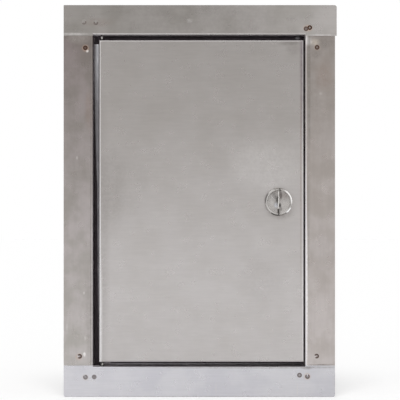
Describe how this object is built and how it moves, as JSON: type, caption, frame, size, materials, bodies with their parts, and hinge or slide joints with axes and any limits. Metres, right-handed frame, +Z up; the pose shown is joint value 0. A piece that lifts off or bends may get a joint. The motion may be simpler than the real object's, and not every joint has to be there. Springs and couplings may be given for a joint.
{
  "type": "chimney cleanout door",
  "caption": "Flanged sheet-metal frame for a masonry opening, with a side-hinged pan door held shut by a quarter-turn cam latch.",
  "frame": {"origin": "middle of the frame's opening, on the plane of the masonry face that the corner plates rest on", "axes": "+X to the right seen from the front, +Y into the wall, +Z up"},
  "size_m": [0.2616, 0.0292, 0.3755],
  "materials": {
    "frame_sheet": "mill-finish stainless sheet, faint upright grain",
    "door_sheet": "mill-finish stainless sheet, faint level mottling",
    "plate_sheet": "mill-finish stainless sheet",
    "weld_metal": "heat-tinted spot weld",
    "rod_steel": "drawn stainless rod",
    "cap_steel": "zinc-plated spring steel",
    "latch_zinc": "nickel-plated zinc casting",
    "latch_steel": "zinc-plated pressed steel",
    "knob_chrome": "polished bright plating",
    "screw_steel": "zinc-plated steel"
  },
  "bodies": {
    "frame": {"frame_top": "frame_sheet", "frame_bottom": "frame_sheet", "frame_left": "frame_sheet", "frame_right": "frame_sheet", "corner_plate_top_left": "plate_sheet", "corner_plate_top_right": "plate_sheet", "corner_plate_bottom_left": "plate_sheet", "corner_plate_bottom_right": "plate_sheet", "spot_welds": "weld_metal", "hinge_rod": "rod_steel", "rod_cap_upper": "cap_steel", "rod_cap_lower": "cap_steel", "hinge_spacer": "cap_steel"},
    "door": {"door_pan": "door_sheet", "latch_housing": "latch_zinc", "latch_lock_washer": "latch_steel", "latch_nut": "latch_steel", "latch_spring_washer": "latch_steel"},
    "latch": {"latch_knob": "knob_chrome", "latch_stop_washer": "latch_steel", "latch_cam": "latch_steel", "cam_washer": "screw_steel", "cam_screw": "screw_steel"}
  },
  "joints": [
    {"name": "door_swing", "type": "hinge", "parent": "frame", "child": "door", "pos_m": [-0.0934, 0.003, 0], "axis": [0, 0, -1], "range_deg": [0, 110]},
    {"name": "latch_turn", "type": "hinge", "parent": "door", "child": "latch", "pos_m": [0.0763, 0, -0.0011], "axis": [0, 1, 0], "range_deg": [0, 90]}
  ]
}
